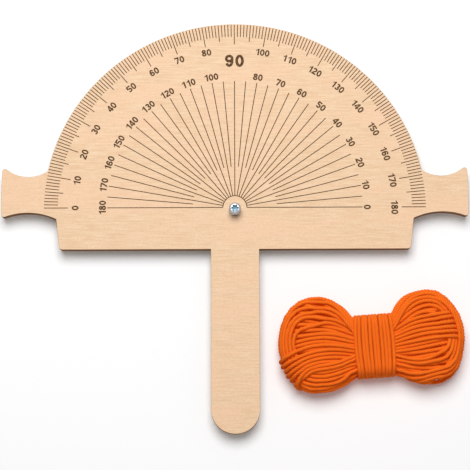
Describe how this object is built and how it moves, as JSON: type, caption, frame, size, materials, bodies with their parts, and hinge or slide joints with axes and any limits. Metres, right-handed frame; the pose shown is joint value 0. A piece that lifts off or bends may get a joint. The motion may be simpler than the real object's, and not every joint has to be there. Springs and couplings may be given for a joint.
{
  "type": "angle finder",
  "caption": "Flat wooden protractor plate with a half-round scale, two ears and a handle, a small screw at its centre that carries a line, and a banded hank of yarn for the line.",
  "frame": {"origin": "on the screw's axis, at the front face of the plate", "axes": "+Z out of the plate's front face, +X to the right along the zero line as the scale is read, +Y toward the top of the arc; the handle points along -Y"},
  "size_m": [0.311, 0.2775, 0.0236],
  "materials": {
    "plywood": "bare pale plywood with a fine even grain, its cut edges burnt brown",
    "screw_zinc": "bright zinc plate",
    "nut_zinc": "bright zinc plate",
    "yarn": "soft matte twisted yarn, orange"
  },
  "bodies": {
    "plate": {"plate": "plywood", "front_nut": "nut_zinc", "back_nut": "nut_zinc"},
    "screw": {"pivot_screw": "screw_zinc"},
    "yarn": {"yarn_hank": "yarn", "yarn_band": "yarn"}
  },
  "joints": [
    {"name": "screw_turn", "type": "hinge", "parent": "plate", "child": "screw", "pos_m": [0, 0, 0], "axis": [0, 0, 1], "range_deg": [-970, 870]},
    {"name": "hank_lift", "type": "slide", "parent": "plate", "child": "yarn", "axis": [0, 0, 1], "range_m": [0, 0.1]}
  ]
}
